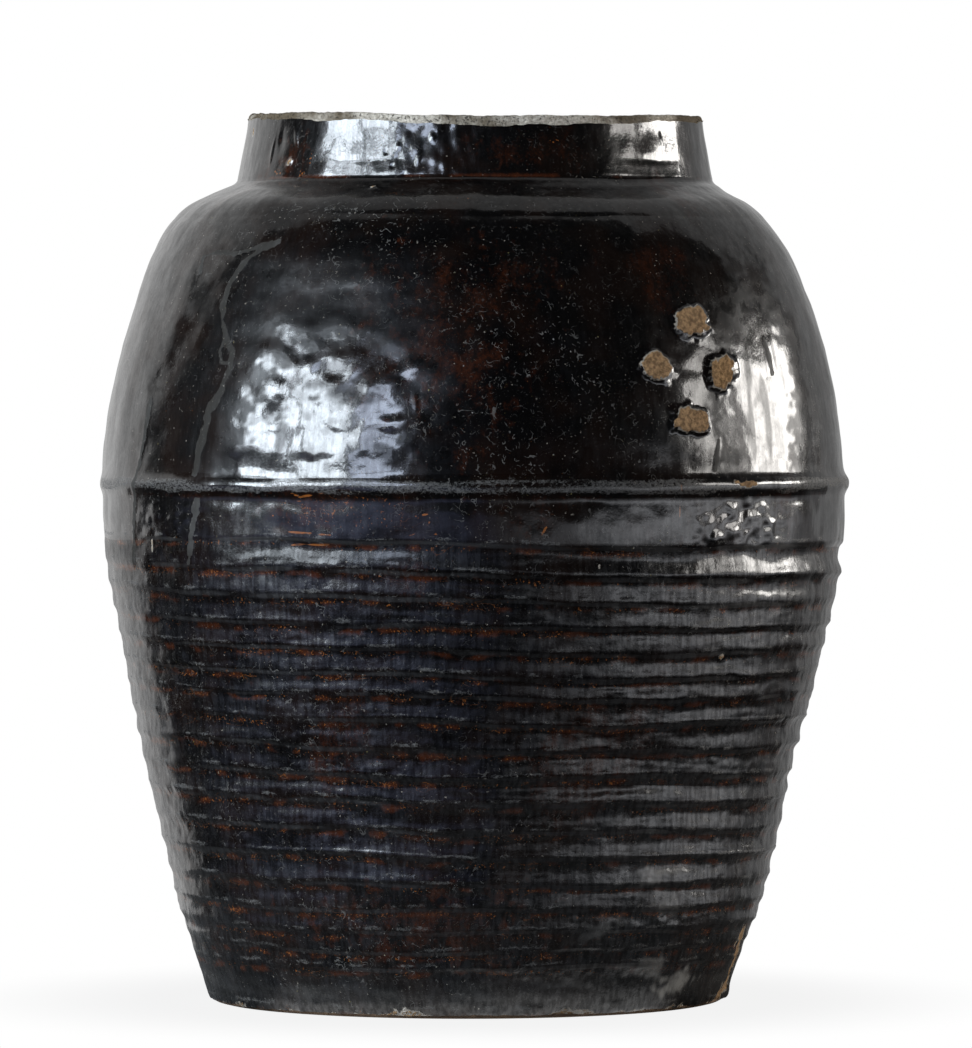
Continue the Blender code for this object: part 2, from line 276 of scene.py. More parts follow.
# The foot: a faint pale band of painted reflection, and a sliver of bare clay along some pixels
FOOT_REFLECTION_BAND = 13 * MM
FOOT_REFLECTION_BAND_REACH = 6 * MM
SLIVER = ((741, 935), (734, 962), (726, 985), (717, 998))
SLIVER_HALF_WIDTH = 4.8 * MM
SLIVER_DEPTH = 0.7 * MM

# Spots with more dust, and with fibres in the glaze
DUSTY_PATCH = ((520, 390), 120, 110)
FIBRE_PATCH = ((350, 512), 95, 26)

# What is painted on the skin for the materials
MASKS = (
    "bare", "rust", "groove", "dust", "fibre", "pale", "ledge", "slit", "thread", "reflection_bloom", "vein", "haze",
)

# Colours, linear
BLACK_GLAZE = (0.0013, 0.0011, 0.0012)
BROWN_GLAZE = (0.0056, 0.0026, 0.0017)
RUST_GLAZE = (0.046, 0.0115, 0.0038)
AMBER_GLAZE = (0.26, 0.085, 0.018)
# Grey of dust, and of the pale patches painted as reflection
DUST_AND_REFLECTION_GREY = (0.30, 0.29, 0.27)
DUST_OLIVE = (0.26, 0.22, 0.08)
# Partly a real milky haze, partly painted sheen
FILM_AND_SHEEN_VIOLET = (0.25, 0.265, 0.34)
VEIN_GREY = (0.024, 0.022, 0.0185)
EDGE_PALE = (0.44, 0.39, 0.32)
HAIR_GREY = (0.24, 0.23, 0.21)
LEDGE_GREY = (0.15, 0.145, 0.135)
# Painted shade just under the rib edges
SHADE_SLIT_BLACK = (0.002, 0.0012, 0.001)
GRIT_GREY = (0.075, 0.070, 0.068)
TAN_CLAY = (0.45, 0.275, 0.13)
DARK_TAN_CLAY = (0.15, 0.085, 0.036)
LIP_PALE = (0.66, 0.60, 0.50)
LIP_BROWN = (0.115, 0.088, 0.055)
LIP_DARK = (0.022, 0.018, 0.014)
BASE_PALE = (0.30, 0.195, 0.12)
BASE_DARK = (0.10, 0.062, 0.038)
INNER_BROWN = (0.030, 0.015, 0.009)
INNER_DARK = (0.010, 0.006, 0.004)

# The two glazes: roughness and weight of the clear coat, depth of the orange peel in millimetres,
# share of a bluish-violet layer that is partly real milky haze and partly painted sheen, gloss and roughness
# of the glaze under the coat, and share of grit
GLOSSY = {
    "coat_roughness": 0.07, "coat_weight": 0.94, "peel": 0.085, "film_and_sheen": 0.015, "sheen": 0.50,
    "rough_range": (0.15, 0.22), "grit": 0.20,
}
SATIN = {
    "coat_roughness": 0.15, "coat_weight": 0.62, "peel": 0.14, "film_and_sheen": 0.022, "sheen": 0.66,
    "rough_range": (0.19, 0.30), "grit": 0.45,
}
# Scratches: direction in degrees, cells to the metre, length to width, and share of the cells
SCRATCHES = ((35.0, 620.0, 7.0, 0.13), (-50.0, 710.0, 9.0, 0.12), (80.0, 660.0, 8.0, 0.12))

# Studio: the pale backdrop is the part of the surroundings behind and above the jar, and a share of
# its light falls on dull surfaces too
BACKDROP_NORMAL = (-0.09, 1.0, 0.64)
BACKDROP_EDGE = (0.60, 0.63)
BACKDROP_LEFT = 0.66
BACKDROP_RIGHT = 0.24
BACKDROP_TOP = 0.23
BACKDROP_LIGHT_SHARE = 1.0
ROOM_LEVEL = 0.018
LAMP_DISTANCE = 2.2
WALL_MIRROR_HEIGHT = 0.30
LEFT_LIGHT = (0.82, 0.91, 1.0)
MIDDLE_LIGHT = (0.70, 0.80, 1.0)
RIGHT_LIGHT = (1.0, 0.965, 0.92)

# The floor: its size and colours, and where it turns white for the camera and for reflections
FLOOR_RADIUS = 0.33
FLOOR_RING_SHARES = (1.0, 0.75, 0.5, 0.25, 0.02)
FLOOR_CORNERS = 96
FLOOR_DROP = 0.2 * MM
FLOOR_COLOURS = ((0.15, 0.15, 0.147), (0.17, 0.17, 0.167))
FLOOR_FADE = (0.145, 0.30)
FLOOR_NEAR_WHITE = 0.88
FLOOR_MIRRORED = (0.139, 0.154)
FLOOR_BEHIND = (0.02, 0.30)
FLOOR_BEHIND_WHITE = 0.12
FLOOR_FRONT = (-0.105, -0.075)

# Soft glows of the room: azimuth of the middle and half width in degrees, level, colour
GLOWS = (
    (-62, 46, 0.68, (0.58, 0.66, 1.0)),
    (-30, 44, 0.60, (0.52, 0.60, 1.0)),
    (44, 42, 0.95, (0.88, 0.92, 1.0)),
    (78, 46, 2.2, (0.95, 0.96, 1.0)),
    (112, 40, 0.35, (0.97, 0.97, 1.0)),
)
# Heights of direction between which the glows rise, and between which they end
GLOW_RISE = (-0.50, 0.02)
GLOW_FALL = (-0.12, 0.05)

# Panes of the soft lamps: azimuth and elevation from and to, in degrees, then radiance and colour
PANES = (
    ("left_outer", (-80, -60.5), (4.5, 24.3), 18.5, LEFT_LIGHT),
    ("left_inner", (-58, -41), (4.5, 24.3), 18.5, LEFT_LIGHT),
    ("left_outer_top", (-80, -60.5), (26.3, 29.5), 13.5, LEFT_LIGHT),
    ("left_inner_top", (-58, -41), (26.3, 29.5), 18.0, LEFT_LIGHT),
    ("middle_top", (-38, -21), (15, 26), 10.0, MIDDLE_LIGHT),
    ("middle_low", (-38, -22), (5, 13), 8.5, MIDDLE_LIGHT),
    ("right_narrow", (77, 88), (2, 20), 6.5, RIGHT_LIGHT),
    ("right_wide", (93, 123), (2, 16.5), 12.5, RIGHT_LIGHT),
)


def smoothstep(low, high, value):
    t = np.clip((value - low) / (high - low), 0, 1)
    return t * t * (3 - 2 * t)


def fade(low, high, value):
    """1 up to the low value, and 0 from the high one."""
    return 1 - smoothstep(low, high, value)


def bell(value, reach):
    return np.exp(-((value / reach) ** 2))


def span_of(place, at):
    """Which span between neighbouring places each given place lies in."""
    return np.clip(np.searchsorted(place, at, side="right") - 1, 0, len(place) - 2)


def hermite(points, at):
    """Smooth curve through points of (place, value), read at the given places."""
    place, value = np.array(points, float).T
    slope = np.gradient(value, place)
    k = span_of(place, at)
    span = place[k + 1] - place[k]
    t = np.clip((at - place[k]) / span, 0, 1)
    rise = (1 + 2 * t) * (1 - t) ** 2 * value[k] + t * t * (3 - 2 * t) * value[k + 1]
    lean = t * (1 - t) ** 2 * slope[k] - t * t * (1 - t) * slope[k + 1]
    return rise + span * lean


def eased(points, at):
    """Curve through points of (place, value) that is level at each of them."""
    place, value = np.array(points, float).T
    k = span_of(place, at)
    return value[k] + (value[k + 1] - value[k]) * smoothstep(place[k], place[k + 1], at)


def outer_radius(height):
    """Radius of the smooth outer wall, before ribs, ridge and wear."""
    h = np.asarray(height, float) / MM
    wall = np.where(h < NECK_SEAM / MM, hermite(WALL_OUTLINE, h), hermite(NECK_OUTLINE, h)) * MM
    rise = np.clip(FOOT_EDGE - np.asarray(height, float), 0, FOOT_EDGE)
    return wall - (FOOT_EDGE - np.sqrt(FOOT_EDGE**2 - rise**2))


def inner_radius(height):
    walls = np.array(INNER_WALLS, float).T
    return outer_radius(height) - np.interp(np.asarray(height) / MM, *walls) * MM


def lean_at(height):
    return eased(LEAN, np.asarray(height) / MM) * MM


def evenly(points, step):
    """The same polyline with points at even steps along it."""
    points = np.array(points, float)
    run = np.concatenate([[0], np.cumsum(np.linalg.norm(np.diff(points, axis=0), axis=1))])
    places = np.linspace(0, run[-1], max(2, round(run[-1] / step) + 1))
    return np.stack([np.interp(places, run, points[:, i]) for i in range(2)], axis=1)


def wall_rows(low, high):
    """Rows of (radius, height) up the outer wall between two seams."""
    heights = np.append(np.arange(low, high, PROFILE_STEP), high - SEAM_MARGIN)
    return evenly(np.stack([outer_radius(heights), heights], axis=1), ROW_STEP)


def lip_rows():
    """Rows over the lip: up its outer face, round its edges and down to the seam inside."""
    face = outer_radius(JAR_TOP)
    outline = [(outer_radius(LIP_SEAM), LIP_SEAM), (face, JAR_TOP - LIP_EDGE)]
    turns = np.linspace(0, pi / 2, ROUNDING_STEPS)
    corners = [(LIP_EDGE * (1 - cos(turn)), LIP_EDGE * (1 - sin(turn))) for turn in turns]
    outline += [(face - across, JAR_TOP - down) for across, down in corners[1:]]
    outline += [(MOUTH_RADIUS + across, JAR_TOP - LIP_TOP_DROP - down) for across, down in corners[::-1]]
    outline.append((MOUTH_RADIUS, LIP_SEAM))
    return evenly(outline, ROW_STEP)


def lay_rows():
    """All outer rows from the foot to the inside of the lip, and the row number of each seam."""
    rows = []
    marks = [0]
    for low, high in zip(SEAMS, SEAMS[1:]):
        part = wall_rows(low, high)
        rows.append(part if not rows else part[1:])
        marks.append(marks[-1] + len(part) - 1)
    rows.append(lip_rows()[1:])
    return np.concatenate(rows), marks


ROWS, SEAM_ROWS = lay_rows()
ROW_RADIUS, ROW_HEIGHT = ROWS.T
ROW_COUNT = len(ROWS)
LIP_ROW = SEAM_ROWS[-1]
ON_LIP = (np.arange(ROW_COUNT) > LIP_ROW)[:, None]
LEVEL = ROW_HEIGHT[:, None]
ANGLE = 2 * pi * np.arange(COLUMNS) / COLUMNS
ANGLE = np.where(ANGLE > pi, ANGLE - 2 * pi, ANGLE)
MEAN_COLUMN_STEP = 2 * pi * float(np.mean(ROW_RADIUS)) / COLUMNS


def noise(seed, wide, tall):
    """Smooth noise with a spread of 1, its lumps as wide and tall as given in millimetres."""
    white = np.random.default_rng(seed).standard_normal((ROW_COUNT + PADDING_ROWS, COLUMNS))
    up = np.fft.fftfreq(white.shape[0])[:, None] * (tall * MM / ROW_STEP)
    around = np.fft.rfftfreq(COLUMNS)[None, :] * (wide * MM / MEAN_COLUMN_STEP)
    blur = np.exp(-((pi / 2) ** 2) * (up**2 + around**2) / 2)
    soft = np.fft.irfft2(np.fft.rfft2(white) * blur, s=white.shape)[:ROW_COUNT]
    return (soft - soft.mean()) / soft.std()


def patchy(seed, wide, tall, mean, spread, low, high):
    """Noise round a mean, kept within limits."""
    return np.clip(mean + spread * noise(seed, wide, tall), low, high)


def on_wall(pixel):
    """Angle and height of the point of the wall that the photograph shows at a pixel."""
    ahead = (CAMERA_TARGET - CAMERA_PLACE).normalized()
    right = ahead.cross(Vector((0, 0, 1))).normalized()
    focal = LENS / SENSOR * PHOTO_HEIGHT
    across, up = (pixel[0] - PHOTO_WIDTH / 2) / focal, (PHOTO_HEIGHT / 2 - pixel[1]) / focal
    ray = ahead + right * across + right.cross(ahead) * up
    reach = -CAMERA_PLACE.y - SIGHT_START
    for _ in range(SIGHT_ROUNDS):
        height = min(max(CAMERA_PLACE.z + ray.z * reach, 0.0), JAR_TOP)
        x = CAMERA_PLACE.x - float(lean_at(height))
        a = ray.x**2 + ray.y**2
        b = x * ray.x + CAMERA_PLACE.y * ray.y
        c = x * x + CAMERA_PLACE.y**2 - float(outer_radius(height)) ** 2
        reach = (-b - sqrt(max(b * b - a * c, 0.0))) / a
    return atan2(x + ray.x * reach, -(CAMERA_PLACE.y + ray.y * reach)), height


class Skin:
    """The outer surface: where each grid point lies, how far it is pushed out, and its masks."""

    def __init__(self):
        self.height = LEVEL + self.warp()
        slide = outer_radius(np.clip(self.height, FOOT_SEAM, JAR_TOP)) - outer_radius(LEVEL)
        self.radius = ROW_RADIUS[:, None] + np.where(ON_LIP, 0, slide)
        tangent = np.gradient(ROWS, axis=0)
        tangent /= np.linalg.norm(tangent, axis=1, keepdims=True)
        self.normal = np.stack([tangent[:, 1], -tangent[:, 0]], axis=1)
        steps = np.linalg.norm(np.diff(ROWS, axis=0), axis=1)
        self.arc = np.concatenate([[0], np.cumsum(steps)])
        self.push = np.zeros((ROW_COUNT, COLUMNS))
        self.masks = {name: np.zeros((ROW_COUNT, COLUMNS)) for name in MASKS}

    def warp(self):
        """How far each point of a row lies above or below the row's own height."""
        tilt = smoothstep(*TILT_RISE, LEVEL) * fade(*TILT_FADE, LEVEL)
        drift = 0.7 * MM * noise(3, 160, 50) + 0.35 * MM * noise(4, 45, 12)
        body = -RIB_TILT * tilt * np.sin(ANGLE) + drift * smoothstep(4 * MM, 20 * MM, LEVEL)
        calm = 1 - 0.75 * bell(LEVEL - RIDGE_MIDDLE, 12 * MM)
        calm = calm * fade(400 * MM, 412 * MM, LEVEL)
        fray = (0.16 * noise(5, 8, 20) + 0.38 * noise(6, 35, 30))[LIP_ROW]
        glaze_line, lip_top = (
            (rise - tilt * np.sin(ANGLE) - dip * bell(ANGLE - DIP_ANGLE, DIP_REACH) + share * fray) * MM
            for (rise, tilt, dip), share in ((GLAZE_LINE, 1.0), (LIP_TOP_LINE, 0.4))
        )
        near_lip = smoothstep(425 * MM, LIP_SEAM, LEVEL)
        over = smoothstep(LIP_SEAM, JAR_TOP - LIP_EDGE, LEVEL)
        return body * calm + near_lip * (glaze_line * (1 - over) + lip_top * over)

    def at(self, pixel):
        angle, height = on_wall(pixel)
        row = np.interp(height, ROW_HEIGHT[: LIP_ROW + 1], np.arange(LIP_ROW + 1))
        return angle, np.interp(row, np.arange(ROW_COUNT), self.arc), height

    def away(self, pixel):
        """Distances round and up the wall from the point at a pixel."""
        angle, arc, height = self.at(pixel)
        turn = (ANGLE - angle + pi) % (2 * pi) - pi
        return turn[None, :] * float(outer_radius(height)), self.true_arc() - arc

    def true_arc(self):
        """Length up the outline of each point, its row's warp included."""
        slope = np.gradient(self.arc, ROW_HEIGHT + np.arange(ROW_COUNT) * ROW_MARGIN)
        slope = np.where(np.arange(ROW_COUNT) > LIP_ROW - LIP_SAFE_ROWS, 1.0, slope)
        return self.arc[:, None] + (self.height - LEVEL) * slope[:, None]

    def spot(self, pixel, wide, tall, turn=0.0, power=2.0):
        """Distance from a spot's middle, 1 at its edge. Its size is in millimetres, its turn in degrees."""
        across, up = self.away(pixel)
        c, s = cos(radians(turn)), sin(radians(turn))
        u = np.abs(across * c + up * s) / (wide * MM / 2)
        v = np.abs(up * c - across * s) / (tall * MM / 2)
        return (u**power + v**power) ** (1 / power)

    def line(self, pixels):
        """Distance from a line through pixels, in metres."""
        nearest = np.full((ROW_COUNT, COLUMNS), 1.0)
        for start, end in zip(pixels, pixels[1:]):
            across, up = self.away(start)
            angle_a, arc_a, height_a = self.at(start)
            angle_b, arc_b, _ = self.at(end)
            du = (angle_b - angle_a) * float(outer_radius(height_a))
            dv = arc_b - arc_a
            t = np.clip((across * du + up * dv) / (du * du + dv * dv), 0, 1)
            nearest = np.minimum(nearest, np.hypot(across - t * du, up - t * dv))
        return nearest

    def ripple(self, seed, wide, tall, depth, where):
        """Pushes the skin in and out in waves, sized in millimetres."""
        self.push += depth * MM * noise(seed, wide, tall) * where

    def mark(self, name, strength):
        """Raises a mask to at least the given strength."""
        self.masks[name] = np.maximum(self.masks[name], strength)

    def points(self):
        """Grid of x, y and z."""
        out = self.push[..., None] * self.normal[:, None, :]
        radius = self.radius + out[..., 0]
        height = self.height + out[..., 1]
        x = radius * np.sin(ANGLE) + lean_at(np.clip(height, 0, JAR_TOP))
        return np.stack([x, -radius * np.cos(ANGLE), height], axis=2)


def rib_profile():
    """Push of each row by the ribs, and how near it lies over, under and right below a rib's edge, the last
    for painted shade.
    """
    edges, depths = np.array(RIB_EDGES).T * MM
    k = span_of(edges, ROW_HEIGHT)
    t = np.clip((ROW_HEIGHT - edges[k]) / (edges[k + 1] - edges[k]), 0, 1)
    out = hermite(RIB_SHARES, t) * depths[k] / 2
    out -= hermite(RIB_SHARES, 1.0) * depths[-2] / 2 * smoothstep(edges[-2], edges[-1], ROW_HEIGHT)
    over = bell(np.min(np.abs(LEVEL - edges - LEDGE_REACH / 2), axis=1), LEDGE_REACH)
    under = bell(np.min(np.abs(LEVEL - edges + UNDER_EDGE), axis=1), UNDER_REACH)
    slit = bell(np.min(np.abs(LEVEL - edges[1:] + SHADE_SLIT_EDGE), axis=1), SHADE_SLIT_REACH)
    return np.where(ROW_HEIGHT < edges[-1], out, 0), over, under, slit


def shape_ribs(skin):
    """The uneven ribs, with dust on their edges, rust under them, and a black line of painted shade just
    under each edge.
    """
    push, over, under, slit = (column[:, None] for column in rib_profile())
    side_share = RIB_SIDE_SHARE + TOP_RIB_SIDE_SHARE * smoothstep(*TOP_RIB, LEVEL)
    skin.push += push * patchy(11, 70, 9, 1, 0.30, 0.3, 1.7) * (1 + side_share * np.sin(ANGLE))
    skin.masks["ledge"] += over * patchy(12, 10, 4, 0.50, 0.60, 0, 1.5)
    skin.masks["groove"] += under * patchy(14, 20, 8, 0.75, 0.4, 0, 1.3)
    skin.masks["rust"] += 0.75 * under * patchy(16, 12, 6, 0.40, 0.7, 0, 1.2)
    # Painted shade: a black line just under each edge, fading towards the sides of the jar
    turned = 1 - 0.75 * smoothstep(*SHADE_SLIT_TURN, np.abs(ANGLE))
    skin.masks["slit"] += slit * turned * patchy(17, 30, 6, 0.75, 0.35, 0, 1)


def shape_ridge(skin):
    """The ridge with its dusty top, and the faint crease high on the shoulder."""
    away = LEVEL - RIDGE_MIDDLE
    proud = RIDGE_PROUD * (1 + RIDGE_SIDE_SHARE * np.sin(ANGLE))
    skin.push += proud * hermite(RIDGE_SHARES, away / MM) * patchy(13, 35, 20, 1, 0.14, 0.6, 1.4)
    foot, top = RIDGE_DUST
    frayed = away + 0.5 * MM * noise(18, 12, 20)
    dusty = smoothstep(foot - 0.8 * MM, foot, frayed) * fade(top - 2 * MM, top, away)
    skin.masks["ledge"] += 1.3 * dusty * patchy(15, 30, 4, 0.85, 0.3, 0, 1.2)
    skin.masks["rust"] += 0.4 * bell(away + 4.6 * MM, 2.0 * MM)
    facing = bell(ANGLE, radians(45)) * 0.6 + 0.4
    skin.push -= CAP_CREASE_DEPTH * bell(LEVEL - CAP_SEAM, CAP_CREASE_REACH) * facing


def roughen_wall(skin):
    """The uneven hand-made wall, with stronger waves in some patches."""
    wall = smoothstep(4 * MM, 30 * MM, LEVEL) * (1 - 0.6 * smoothstep(NECK_SEAM - 4 * MM, NECK_SEAM, LEVEL))
    body = wall * fade(NECK_SEAM - 20 * MM, NECK_SEAM, LEVEL)
    places = {
        "wall": wall,
        "shoulder": wall * smoothstep(RIDGE_TOP, RIDGE_TOP + 20 * MM, LEVEL),
        "body": body,
        "ribs": fade(CREASE_SEAM - 10 * MM, CREASE_SEAM, LEVEL) * smoothstep(6 * MM, 20 * MM, LEVEL),
        "below_ridge": fade(RIDGE_FOOT - 6 * MM, RIDGE_FOOT, LEVEL) * body,
    }
    for place, *wave in WAVES:
        skin.ripple(*wave, places[place])
    for pixel, wide, tall, start, end, waves in WAVY_PATCHES:
        patch = fade(start, end, skin.spot(pixel, wide, tall))
        for wave in waves:
            skin.ripple(*wave, patch)


def shape_neck(skin):
    """Glaze lumps and pits on the neck, and the frayed clay of the lip."""
    on_neck = smoothstep(NECK_SEAM, NECK_SEAM + 3 * MM, skin.height)
    mottled = bell(skin.away((436, 150))[0], 24 * MM)
    skin.ripple(31, 8.5, 8, 0.12, on_neck * (0.15 + mottled))
    skin.ripple(32, 18, 14, 0.05, on_neck)
    skin.push -= NECK_TILT * np.clip(skin.height - NECK_SEAM, 0, None) * bell(ANGLE, radians(60))
    skin.ripple(33, 5, 3, 0.09, ON_LIP)
    skin.ripple(34, 20, 8, 0.12, ON_LIP)
    skin.push -= 0.25 * MM * ON_LIP


def settle_masks(skin):
    """Rust, dust and flecks that lie everywhere, with the wear of the ridge and the rims."""
    skin.mark("rust", 0.5 * smoothstep(0.7, 2.2, noise(81, 60, 90)))
    dusty = 0.45 + 0.22 * noise(82, 90, 70) + 0.35 * bell(skin.spot(*DUSTY_PATCH), 1.0)
    skin.masks["dust"] += np.clip(dusty, 0.1, 1)
    # Painted sheen, partly a real milky haze: a thicker bluish-violet layer over the ribs, fading out up the
    # belly band
    film_and_sheen = fade(CREASE_SEAM, RIDGE_FOOT, skin.height) * (1 - skin.masks["rust"])
    skin.mark("pale", film_and_sheen * patchy(83, 35, 12, 0.45, 0.45, 0, 1))
    root = bell(skin.height - NECK_SEAM - 1.2 * MM, 1.2 * MM)
    skin.mark("rust", root * smoothstep(-0.6, 1.2, noise(84, 30, 20)))
    skin.mark("fibre", 0.45 * fade(0.5, 1.1, skin.spot(*FIBRE_PATCH)))
    for name, mask in skin.masks.items():
        skin.masks[name] = np.clip(mask, 0, 1)


def add_pads(skin):
    """Four low irregular clay pads on the shoulder, their tops worn bare."""
    ragged = 0.10 * noise(41, 6, 6) + 0.05 * noise(42, 2.5, 2.5)
    bumpy = 1 + 0.06 * noise(43, 4, 4)
    for pixel, wide, tall, turn in PADS:
        away = skin.spot(pixel, wide, tall, turn, PAD_SQUARENESS) + ragged
        rise = fade(0.70, 1.28, away)
        skin.push += PAD_HEIGHT * rise * bumpy
        skin.mark("bare", fade(0.72, 1.0, away))
        skin.masks["dust"] *= 1 - rise


def add_marks(skin):
    """Runs, lumps, dents, threads, chips and worn or rusty places of the photographed side, with pale patches
    and a faint strip round the foot that are painted reflection.
    """
    ragged = 0.16 * noise(51, 5, 5) + 0.10 * noise(52, 14, 14)
    for pixels, half_width, height in RUNS:
        away = skin.line(pixels) / (half_width * MM)
        skin.push += height * MM * bell(away * (1 + 0.5 * ragged), 0.8)
        skin.mark("vein", fade(0.75, 1.15, away + 1.3 * ragged))
    for *spot, push in LUMPS:
        skin.push += push * MM * bell(skin.spot(*spot) * (1 + 0.4 * ragged), 0.75)
    near = patchy(53, 8, 8, 1.0, 0.25, 0.6, 1.1)
    for pixels in THREADS:
        skin.mark("thread", near - (skin.line(pixels) + THREAD_WANDER * np.abs(ragged)) / THREAD_REACH)
    for mask, raggedness, start, end, spots in PLACES:
        for *spot, strength in spots:
            skin.mark(mask, strength * fade(start, end, skin.spot(*spot) + raggedness * ragged))
    # Painted reflection: a faint pale band round the foot
    band = bell(skin.height - FOOT_REFLECTION_BAND, FOOT_REFLECTION_BAND_REACH) * patchy(54, 50, 6, 0.8, 0.4, 0.3, 1.4)
    skin.mark("reflection_bloom", 0.09 * band)


def add_haze(skin):
    """Worn, hazy glaze round and inside the clearest parts of the shoulder, and on one rib."""
    ragged = 0.13 * noise(91, 14, 12) + 0.08 * noise(92, 4, 4)
    blotchy = 0.45 * smoothstep(0.2, 1.2, noise(93, 9, 7))
    shoulder = smoothstep(RIDGE_TOP - 1 * MM, RIDGE_TOP + 3 * MM, skin.height)
    shoulder = shoulder * fade(CAP_SEAM - 20 * MM, CAP_SEAM, skin.height)
    skin.mark("haze", 0.8 * bell(skin.height - HAZY_RIB, 6 * MM) * fade(-0.35, 0.1, ANGLE))
    for *spot, start, end in CLEAR_DOMES:
        away = skin.spot(*spot) + ragged
        skin.mark("haze", smoothstep(0.80, 1.14, away) * fade(start, end, away) * shoulder)
        skin.mark("haze", blotchy * fade(0.9, 1.1, away) * shoulder)
    for *spot, strength in HAZY_PATCHES:
        skin.mark("haze", strength * fade(0.5, 1.2, skin.spot(*spot) + 1.6 * ragged))
    brushed = fade(0.8, 1.2, skin.spot(*BRUSHED_PATCH))
    skin.mark("haze", 0.75 * smoothstep(0.1, 1.4, noise(94, 4.5, 30)) * brushed)


def add_foot(skin):
    """The foot's bare, chipped edge, and the sliver of bare clay above it."""
    low = fade(2 * MM, 9 * MM, skin.height)
    skin.ripple(71, 20, 10, 0.35, low)
    skin.ripple(72, 5, 4, 0.14, low)
    edge = (0.6 + 1.6 * noise(73, 35, 30) + noise(74, 8, 8)) * MM
    skin.mark("bare", 0.62 * fade(0.8, 1.4, skin.height / np.clip(edge, 0.6 * MM, None)))
    worn = fade(0.6, 1.1, skin.line(SLIVER) / SLIVER_HALF_WIDTH + 0.34 * noise(75, 4, 6))
    skin.mark("bare", worn)
    skin.push -= SLIVER_DEPTH * worn


def ring_rows(profile):
    """Grid of points on plain rings, from a list of (radius, height)."""
    radius, height = np.array(profile).T
    x = radius[:, None] * np.sin(ANGLE) + lean_at(height)[:, None]
    y = -radius[:, None] * np.cos(ANGLE)
    return np.stack([x, y, np.broadcast_to(height[:, None], x.shape)], axis=2)


def inner_rows(low, high):
    """Rows down the inside of the wall between two seams."""
    count = max(2, round((high - low) / INNER_ROW_STEP) + 1)
    heights = np.linspace(high, low, count)
    heights = np.clip(heights, BASE_TOP, None) if low < BASE_TOP else heights
    return ring_rows(list(zip(inner_radius(heights), heights)))


def make_mesh(name, points, closed, poles=()):
    """Mesh of rings of points. A closed one joins the last ring to the first; poles close the ends."""
    ring_count, columns = points.shape[:2]
    corner = np.arange(ring_count * columns).reshape(ring_count, columns)
    lower = corner if closed else corner[:-1]
    upper = np.roll(corner, -1, axis=0) if closed else corner[1:]
    quads = np.stack([lower, np.roll(lower, -1, axis=1), np.roll(upper, -1, axis=1), upper], axis=2)
    loops = quads.reshape(-1)
    sizes = np.full(len(loops) // 4, 4)
    vertices = points.reshape(-1, 3)
    for ring, pole, flip in poles:
        centre = len(vertices)
        vertices = np.concatenate([vertices, [pole]])
        here = corner[ring]
        after = np.roll(here, -1)
        pair = (after, here) if flip else (here, after)
        fans = np.stack([pair[0], pair[1], np.full(columns, centre)], axis=1)
        loops = np.concatenate([loops, fans.reshape(-1)])
        sizes = np.concatenate([sizes, np.full(columns, 3)])
    mesh = bpy.data.meshes.new(name)
    mesh.vertices.add(len(vertices))
    mesh.vertices.foreach_set("co", vertices.astype(np.float32).reshape(-1))
    mesh.loops.add(len(loops))
    mesh.loops.foreach_set("vertex_index", loops.astype(np.int32))
    mesh.polygons.add(len(sizes))
    starts = np.concatenate([[0], np.cumsum(sizes)[:-1]])
    mesh.polygons.foreach_set("loop_start", starts.astype(np.int32))
    mesh.update(calc_edges=True)
    mesh.validate()
    mesh.shade_smooth()
    return mesh


def crease_rings(mesh, rings):
    """Marks the edges along some rings as sharp."""
    edges = np.zeros(len(mesh.edges) * 2, np.int32)
    mesh.edges.foreach_get("vertices", edges)
    ring_of = edges.reshape(-1, 2) // COLUMNS
    sharp = (ring_of[:, 0] == ring_of[:, 1]) & np.isin(ring_of[:, 0], rings)
    layer = mesh.attributes.new("sharp_edge", "BOOLEAN", "EDGE")
    layer.data.foreach_set("value", sharp)


def paint(mesh, name, values):
    layer = mesh.attributes.new(name, "FLOAT", "POINT")
    filled = np.zeros(len(mesh.vertices), np.float32)
    filled[: len(values)] = values
    layer.data.foreach_set("value", filled)


def add_object(name, data):
    made = bpy.data.objects.new(name, data)
    bpy.context.scene.collection.objects.link(made)
    return made


def place_section(name, mesh, material):
    piece = add_object(name + "_skin", mesh)
    mesh.materials.append(material)
    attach(piece, "root")
    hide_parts(name)


def make_wall_section(name, skin, points, first, last, low, high, material):
    """One closed ring of wall: its outer skin, its inner face and the two joints."""
    outer = points[first : last + 1]
    inner = inner_rows(low, high)
    mesh = make_mesh(name, np.concatenate([outer, inner]), closed=True)
    count = len(outer)
    crease_rings(mesh, (0, count - 1, count, count + len(inner) - 1))
    for mask_name, mask in skin.masks.items():
        paint(mesh, mask_name, mask[first : last + 1].reshape(-1))
    paint(mesh, "inside", np.repeat([0.0, 1.0], [count * COLUMNS, len(inner) * COLUMNS]))
    place_section(name, mesh, material)


def make_lip(points, material):
    outer = points[LIP_ROW:]
    mesh = make_mesh("rim_lip", outer, closed=True)
    crease_rings(mesh, (0, len(outer) - 1))
    place_section("rim_lip", mesh, material)


